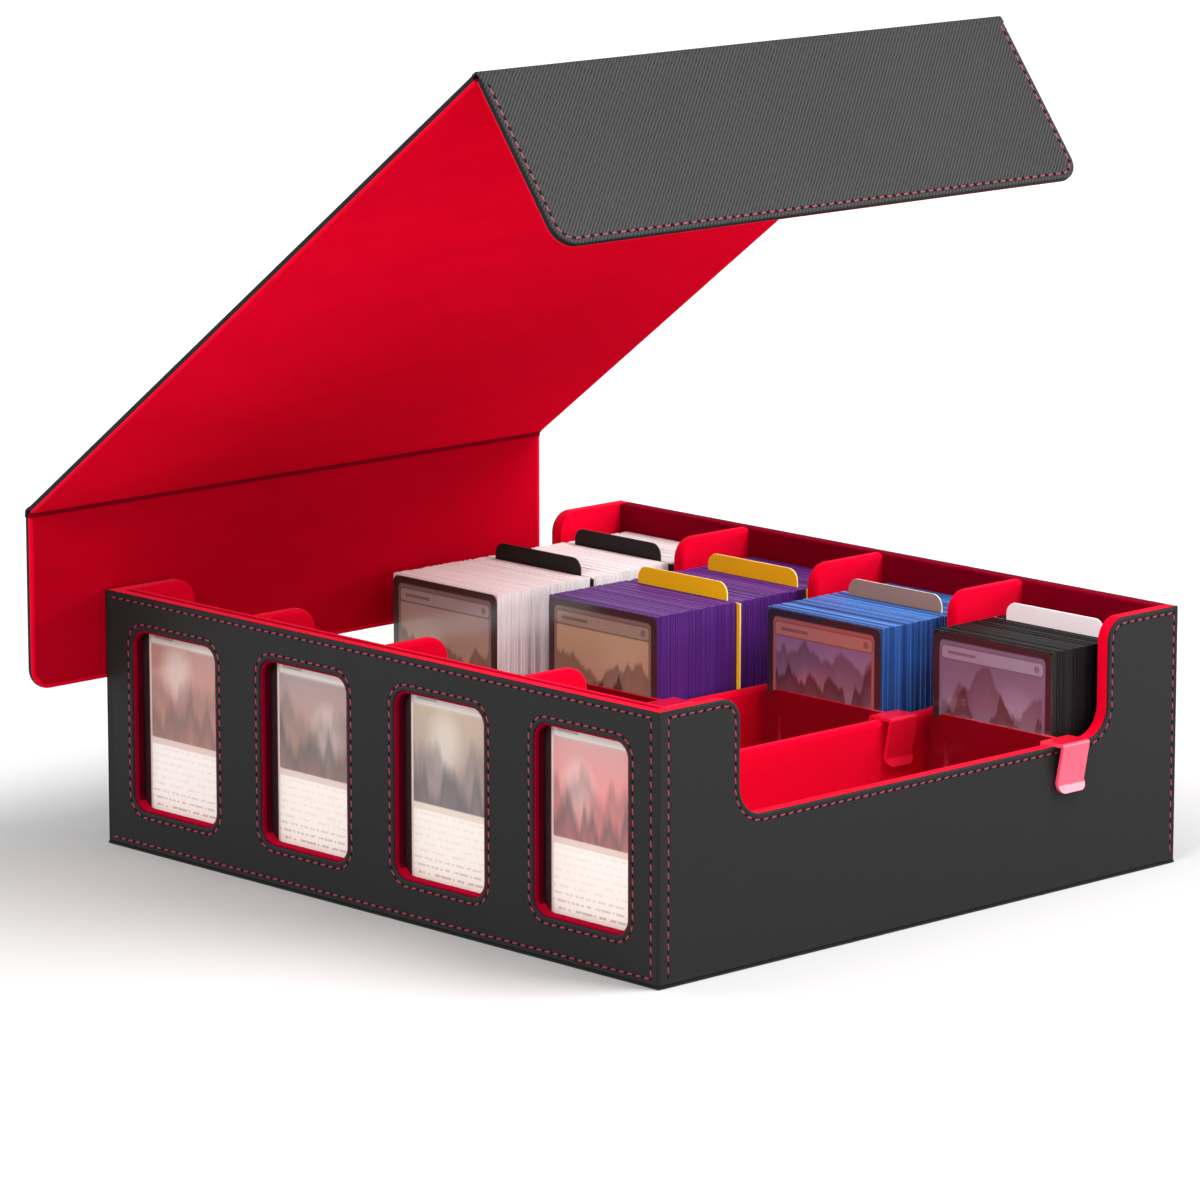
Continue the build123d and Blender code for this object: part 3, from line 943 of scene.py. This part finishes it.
for colour, (finish, tabs) in stack_finishes.items():
    node = f"card_stack_{colour}"
    low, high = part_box(node)
    fronts = [low.y + face_room] + [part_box(tab)[1].y + block_gap for tab in tabs]
    backs = [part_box(tab)[0].y - block_gap for tab in tabs] + [high.y]
    bm = bmesh.new()
    shade_layer = bm.verts.layers.float.new("sleeve_shade")
    for front, back in zip(fronts, backs):
        fill_with_sleeves(
            bm, shade_layer, Vector((low.x, front, low.z)), Vector((high.x, back, high.z)), dice
        )
    plastic = sleeve_material(f"{colour}_sleeves", *finish)
    place_piece(bm, f"sleeves_{colour}", node, [plastic], [node])

# Front cards: printed card with rounded corners that faces forward at the front of each stack.
# It stands behind the clear front film of its own sleeve, which is welded to the coloured back.

card_corner = 3.0 * mm
card_corner_steps = 5
card_thickness = 0.3 * mm
card_side_margin = 0.75 * mm
card_top_margin = 0.5 * mm
film_thickness = 0.1 * mm

# Soft-edged rounded rectangle on a card, in shares of the card's width and height
card_patch, given, made = new_group(
    "card_patch",
    [
        ("Vector", "Vector", None),
        ("Centre", "Vector", (0.5, 0.5, 0.0)),
        ("Half Size", "Vector", (0.4, 0.4, 0.0)),
        ("Corner", "Float", 0.03),
        ("Softness", "Float", 0.006),
    ],
    [("Mask", "Float")],
)
tree = card_patch
away = vector_calc(tree, "ABSOLUTE", vector_calc(tree, "SUBTRACT", given["Vector"], given["Centre"]))
corner = add_node(tree, "CombineXYZ", {"X": given["Corner"], "Y": given["Corner"], "Z": 0.0}).outputs[0]
beyond = vector_calc(tree, "ADD", vector_calc(tree, "SUBTRACT", away, given["Half Size"]), corner)
reach = vector_calc(tree, "LENGTH", vector_calc(tree, "MAXIMUM", beyond, (0.0, 0.0, 0.0)))
gap = calc(tree, "DIVIDE", calc(tree, "SUBTRACT", given["Corner"], reach), given["Softness"])
patch_mask = add_node(tree, "Clamp", {"Value": calc(tree, "ADD", gap, 0.5)})
tree.links.new(patch_mask.outputs[0], made["Mask"])

# Card print: a dark border, a pale frame, a title bar, and a misty view of hills under a low sun
card_print, given, made = new_group(
    "card_print",
    [
        ("Vector", "Vector", None),
        ("Border", "Color", (0.02, 0.015, 0.015, 1.0)),
        ("Frame", "Color", (0.5, 0.45, 0.4, 1.0)),
        ("Sky", "Color", (0.6, 0.5, 0.4, 1.0)),
        ("Haze", "Color", (0.7, 0.6, 0.5, 1.0)),
        ("Hills", "Color", (0.1, 0.06, 0.05, 1.0)),
        ("Panel", "Color", (0.8, 0.76, 0.72, 1.0)),
        ("Sun", "Vector", (0.6, 0.72, 0.0)),
        ("Seed", "Float", 0.0),
        ("Rise", "Float", 0.0),
        ("Mist", "Float", 0.02),
    ],
    [("Color", "Color")],
)
tree = card_print
card_tallness = 1.38
place = add_node(tree, "SeparateXYZ", {0: given["Vector"]}).outputs
picture = blend_colours(tree, ramp(tree, place["Y"], 0.42, 0.95), given["Haze"], given["Sky"])
sun_away = vector_calc(tree, "SUBTRACT", given["Vector"], given["Sun"])
sun_reach = vector_calc(tree, "LENGTH", vector_calc(tree, "MULTIPLY", sun_away, (1.0, card_tallness, 1.0)))
sun_glow = calc(tree, "MULTIPLY", ramp(tree, sun_reach, 0.24, 0.08), 0.35)
picture = blend_colours(tree, sun_glow, picture, given["Panel"])
for ridge_height, ridge_scale, ridge_depth in ((0.71, 3.2, 0.6), (0.59, 5.5, 0.92)):
    ridge_run = calc(tree, "MULTIPLY_ADD", place["X"], ridge_scale, given["Seed"])
    ridge_line = add_node(
        tree, "TexNoise", {"W": ridge_run, "Scale": 1.0, "Detail": 4.0}, noise_dimensions="1D"
    ).outputs["Fac"]
    ridge_top = calc(tree, "MULTIPLY_ADD", calc(tree, "SUBTRACT", ridge_line, 0.5), 0.42, ridge_height)
    ridge_top = calc(tree, "ADD", ridge_top, given["Rise"])
    below = calc(tree, "SUBTRACT", ridge_top, place["Y"])
    ridge = ramp(tree, below, calc(tree, "MULTIPLY", given["Mist"], -0.2), given["Mist"])
    fade = ramp(tree, below, 0.0, 0.28, 1.0, 0.35)
    factor = calc(tree, "MULTIPLY", calc(tree, "MULTIPLY", ridge, fade), ridge_depth)
    picture = blend_colours(tree, factor, picture, given["Hills"])


def lay_patch(under, over, centre, half_size, corner, share):
    """Lay a rounded patch of colour on the card print."""
    mask = add_node(
        tree,
        "Group",
        {"Vector": given["Vector"], "Centre": centre, "Half Size": half_size, "Corner": corner},
        node_tree=card_patch,
    ).outputs[0]
    return blend_colours(tree, calc(tree, "MULTIPLY", mask, share), under, over)


# Rows of short dashes on the panel under the picture, inked darker towards the foot of the card
lines = calc(tree, "SINE", calc(tree, "MULTIPLY", place["Y"], 190.0))
words = add_node(
    tree, "TexNoise", {"Vector": given["Vector"], "Scale": 24.0, "Detail": 1.0}
).outputs["Fac"]
inked = calc(tree, "GREATER_THAN", words, 0.47)
rows = calc(tree, "MULTIPLY", calc(tree, "GREATER_THAN", lines, 0.5), inked)
row_ink = calc(tree, "MULTIPLY", rows, ramp(tree, place["Y"], 0.25, 0.12, 0.12, 0.55))
panel_print = blend_colours(tree, row_ink, given["Panel"], given["Hills"])

card = lay_patch(given["Border"], given["Frame"], (0.5, 0.515, 0.0), (0.448, 0.452, 0.0), 0.03, 1.0)
card = lay_patch(card, picture, (0.5, 0.665, 0.0), (0.425, 0.215, 0.0), 0.012, 1.0)
card = lay_patch(card, given["Hills"], (0.5, 0.915, 0.0), (0.434, 0.034, 0.0), 0.02, 0.55)
card = lay_patch(card, given["Panel"], (0.5, 0.915, 0.0), (0.428, 0.029, 0.0), 0.018, 0.55)
card = lay_patch(card, given["Hills"], (0.24, 0.915, 0.0), (0.12, 0.007, 0.0), 0.006, 0.55)
card = lay_patch(card, given["Hills"], (0.875, 0.915, 0.0), (0.022, 0.016, 0.0), 0.016, 0.5)
card = lay_patch(card, panel_print, (0.5, 0.255, 0.0), (0.425, 0.165, 0.0), 0.012, 0.9)
tree.links.new(card, made["Color"])


def card_material(
    name, border, frame_colour, sky, haze, hills, panel, sun, seed, rise, mist=0.02, drop=0.0, squeeze=1.0
):
    """A printed card face, its print set lower on the card or squeezed between broad dark borders."""
    material, tree, surface = new_material(name)
    print_place = add_node(
        tree,
        "Mapping",
        {
            "Vector": add_node(tree, "UVMap", uv_map="card").outputs[0],
            "Location": (0.5 - 0.5 * squeeze, drop, 0.0),
            "Scale": (squeeze, 1.0, 1.0),
        },
    ).outputs[0]
    print_layer = add_node(
        tree,
        "Group",
        {
            "Vector": print_place,
            "Border": border,
            "Frame": frame_colour,
            "Sky": sky,
            "Haze": haze,
            "Hills": hills,
            "Panel": panel,
            "Sun": sun,
            "Seed": seed,
            "Rise": rise,
            "Mist": mist,
        },
        node_tree=card_print,
    ).outputs[0]
    paper = blotches(tree, object_place(tree), 1400.0, 2.0)
    paper_roughness = calc(tree, "MULTIPLY_ADD", paper, 0.12, 0.4)
    end_material(tree, surface, {"Base Color": print_layer, "Roughness": paper_roughness})
    return material


def upright_plate(low, high, corner):
    """A thin upright plate with rounded corners, mapped across its width and height."""
    bm = bmesh.new()
    bmesh.ops.create_grid(bm, x_segments=1, y_segments=1, size=0.5)
    size = high - low
    bmesh.ops.scale(bm, verts=bm.verts, vec=(size.x, size.z, 1.0))
    if corner:
        bmesh.ops.bevel(
            bm,
            geom=bm.verts[:],
            offset=corner,
            offset_type="OFFSET",
            affect="VERTICES",
            segments=card_corner_steps,
            profile=0.5,
            material=-1,
        )
    bmesh.ops.rotate(bm, verts=bm.verts, cent=(0, 0, 0), matrix=Matrix.Rotation(math.radians(90.0), 3, "X"))
    bmesh.ops.translate(bm, verts=bm.verts, vec=Vector(((low.x + high.x) / 2, low.y, (low.z + high.z) / 2)))
    swept = bmesh.ops.extrude_face_region(bm, geom=bm.faces[:])["geom"]
    moved = [item for item in swept if isinstance(item, bmesh.types.BMVert)]
    bmesh.ops.translate(bm, verts=moved, vec=(0.0, size.y, 0.0))
    bmesh.ops.recalc_face_normals(bm, faces=bm.faces)
    card_map = bm.loops.layers.uv.new("card")
    for face in bm.faces:
        for loop in face.loops:
            loop[card_map].uv = ((loop.vert.co.x - low.x) / size.x, (loop.vert.co.z - low.z) / size.z)
    return bm


# For each card: border, frame, sky, haze, hills and panel colours, the sun's place, a seed, the hills' rise
front_prints = {
    "white": (
        (0.022, 0.018, 0.017, 1), (0.20, 0.17, 0.155, 1), (0.38, 0.34, 0.32, 1), (0.46, 0.27, 0.14, 1),
        (0.040, 0.016, 0.009, 1), (0.56, 0.52, 0.50, 1), (0.30, 0.70, 0.0), 1.3, 0.0,
    ),
    "purple": (
        (0.024, 0.016, 0.020, 1), (0.20, 0.16, 0.135, 1), (0.52, 0.41, 0.25, 1), (0.31, 0.20, 0.155, 1),
        (0.028, 0.011, 0.010, 1), (0.50, 0.44, 0.36, 1), (0.66, 0.74, 0.0), 4.1, 0.02,
    ),
    "blue": (
        (0.016, 0.013, 0.018, 1), (0.33, 0.11, 0.10, 1), (0.175, 0.11, 0.26, 1), (0.43, 0.30, 0.35, 1),
        (0.048, 0.014, 0.022, 1), (0.56, 0.27, 0.22, 1), (0.42, 0.62, 0.0), 8.6, 0.12,
    ),
    "black": (
        (0.010, 0.009, 0.010, 1), (0.16, 0.13, 0.22, 1), (0.14, 0.10, 0.175, 1), (0.29, 0.245, 0.355, 1),
        (0.060, 0.020, 0.026, 1), (0.44, 0.41, 0.55, 1), (0.70, 0.66, 0.0), 12.2, 0.07,
    ),
}

for colour, card_colours in front_prints.items():
    node = f"card_stack_{colour}"
    low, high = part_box(node)
    bm = upright_plate(low, Vector((high.x, low.y + film_thickness, high.z)), 0.0)
    place_piece(bm, f"sleeve_front_{colour}", node, [clear_film], ())

    card_low = Vector((low.x + card_side_margin, low.y + 2 * film_thickness, low.z))
    card_high = Vector(
        (high.x - card_side_margin, card_low.y + card_thickness, high.z - card_top_margin)
    )
    bm = upright_plate(card_low, card_high, card_corner)
    card_face = card_material(f"{colour}_front_card", *card_colours)
    place_piece(bm, f"front_card_{colour}", node, [card_face], ())

# Tab separators: thin sheets of matt plastic, cut to stand loose between the sleeves of a stack.
# A rounded tab on the top edge stands above the cards, and the cut edge is painted paler than the faces as
# a highlight.

tab_edge_roundness = 0.25 * mm


def tab_material(name, dark, light, edge):
    """Matt plastic sheet with its cut edge painted paler as a highlight."""
    material, tree, surface = new_material(name)
    cloud = blotches(tree, object_place(tree), 55.0)
    texture = blotches(tree, object_place(tree), 2200.0, 2.0)
    facing = add_node(tree, "TexCoord").outputs["Normal"]
    sheet_face = calc(tree, "ABSOLUTE", vector_calc(tree, "DOT_PRODUCT", facing, (0.0, 1.0, 0.0)))
    highlight_edge = calc(tree, "LESS_THAN", sheet_face, 0.6)
    sheet_colour = blend_colours(tree, cloud, dark, light)
    end_material(
        tree,
        surface,
        {
            "Base Color": blend_colours(tree, highlight_edge, sheet_colour, edge),
            "Roughness": calc(tree, "MULTIPLY_ADD", texture, 0.15, 0.42),
            "Specular IOR Level": 0.2,
            "Normal": embossed(tree, texture, 0.15, 0.1 * mm),
        },
    )
    return material


# For each tab: the sheet's darkest and lightest colours, and the paler colour of its cut edge, a painted
# highlight
tab_finishes = {
    "black": ((0.004, 0.004, 0.004, 1), (0.009, 0.009, 0.009, 1), (0.02, 0.02, 0.02, 1)),
    "yellow": ((0.80, 0.46, 0.002, 1), (0.90, 0.55, 0.004, 1), (0.97, 0.78, 0.32, 1)),
    "tan": ((0.29, 0.20, 0.15, 1), (0.36, 0.26, 0.20, 1), (0.80, 0.68, 0.58, 1)),
    "white": ((0.90, 0.88, 0.89, 1), (0.97, 0.95, 0.96, 1), (0.98, 0.97, 0.97, 1)),
}

for colour, finish in tab_finishes.items():
    plastic = tab_material(f"{colour}_tab", *finish)
    for node in [name for name in nodes if name.startswith(f"tab_{colour}")]:
        bm = merged_copy(node)
        round_edges(bm, tab_edge_roundness, 2, lambda start, end: True)
        place_piece(bm, f"{node}_sheet", node, [plastic], [node])

# Row dividers: one clear red moulding each, a plate with a raised panel and a slot,
# and a springy clip with a flared lip that hooks over the wall.

divider_edge_roundness = 0.3 * mm


def moulding_material(name, dark, light, see_through, gloss):
    """Clear red moulded plastic, in copies painted lighter or darker as light and shade."""
    material, tree, surface = new_material(name)
    flow = blotches(tree, object_place(tree), 45.0)
    end_material(
        tree,
        surface,
        {
            "Base Color": blend_colours(tree, flow, dark, light),
            "Roughness": calc(tree, "MULTIPLY_ADD", flow, 0.1, 0.16),
            "IOR": 1.49,
            "Transmission Weight": see_through,
            "Coat Weight": gloss,
            "Coat Roughness": 0.14,
        },
    )
    return material


plate_shade_plastic = moulding_material(
    "plate_shade_plastic", (0.15, 0.001, 0.006, 1), (0.23, 0.002, 0.010, 1), 0.25, 0.2
)
clip_lit_plastic = moulding_material(
    "clip_lit_plastic", (0.58, 0.002, 0.018, 1), (0.70, 0.005, 0.032, 1), 0.0, 0.0
)
clip_highlight_plastic = moulding_material(
    "clip_highlight_plastic", (0.74, 0.04, 0.09, 1), (0.82, 0.07, 0.13, 1), 0.0, 0.3
)
plate_part, clip_part, edge_part = range(3)

# For each divider: its row, the wall that it hooks over, and the plastic of its clip, painted lighter as
# light, and pale pink as a painted highlight on row 4
for row, wall, clip in (
    (2, "partition_2_lining", clip_lit_plastic),
    (3, "partition_3_lining", clip_lit_plastic),
    (4, "right_wall_lining", clip_highlight_plastic),
):
    node = f"divider_row_{row}"
    wall_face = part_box(wall)[0].x
    bm = merged_copy(node)
    round_edges(bm, divider_edge_roundness, 2, lambda start, end: True)
    # The plate is painted darker as shade, and its edges take the lighter clip plastic as a painted
    # highlight
    for face in bm.faces:
        if face.calc_center_median().x > wall_face:
            face.material_index = clip_part
        elif abs(face.normal.y) < 0.9:
            face.material_index = edge_part
        else:
            face.material_index = plate_part
    place_piece(
        bm, f"{node}_moulding", node, [plate_shade_plastic, clip, clip_lit_plastic], [node]
    )

# Display cards: pale printed cards with rounded corners, one behind each window of the front wall.
# They stand loose in the pocket, where they rest on its floor and lift out at the top.

# The print is squeezed between broad dark borders, partly the cards' own black border and partly painted
# shade beside the window edges
display_mist = 0.07
display_print_drop = 0.055
display_squeeze = 1.33
display_prints = (
    (
        (0.016, 0.005, 0.006, 1), (0.62, 0.49, 0.45, 1), (0.33, 0.182, 0.163, 1), (0.57, 0.217, 0.17, 1),
        (0.12, 0.056, 0.051, 1), (0.83, 0.765, 0.745, 1), (0.40, 0.78, 0.0), 21.4, 0.03,
    ),
    (
        (0.016, 0.005, 0.006, 1), (0.62, 0.51, 0.47, 1), (0.238, 0.189, 0.198, 1), (0.476, 0.229, 0.156, 1),
        (0.065, 0.053, 0.062, 1), (0.83, 0.765, 0.73, 1), (0.68, 0.64, 0.0), 26.9, 0.02,
    ),
    (
        (0.016, 0.005, 0.006, 1), (0.64, 0.56, 0.48, 1), (0.43, 0.32, 0.22, 1), (0.273, 0.212, 0.232, 1),
        (0.085, 0.067, 0.077, 1), (0.80, 0.74, 0.70, 1), (0.45, 0.74, 0.0), 31.7, 0.0,
    ),
    (
        (0.016, 0.005, 0.006, 1), (0.62, 0.48, 0.44, 1), (0.45, 0.25, 0.25, 1), (0.75, 0.165, 0.15, 1),
        (0.072, 0.046, 0.057, 1), (0.80, 0.735, 0.70, 1), (0.36, 0.66, 0.0), 37.3, 0.0,
    ),
)

for number, card_colours in enumerate(display_prints, 1):
    node = f"display_card_{number}"
    bm = upright_plate(*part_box(node), card_corner)
    card_face = card_material(
        f"pocket_card_{number}", *card_colours, display_mist, display_print_drop, display_squeeze
    )
    place_piece(bm, f"pocket_card_{number}", node, [card_face], [node])
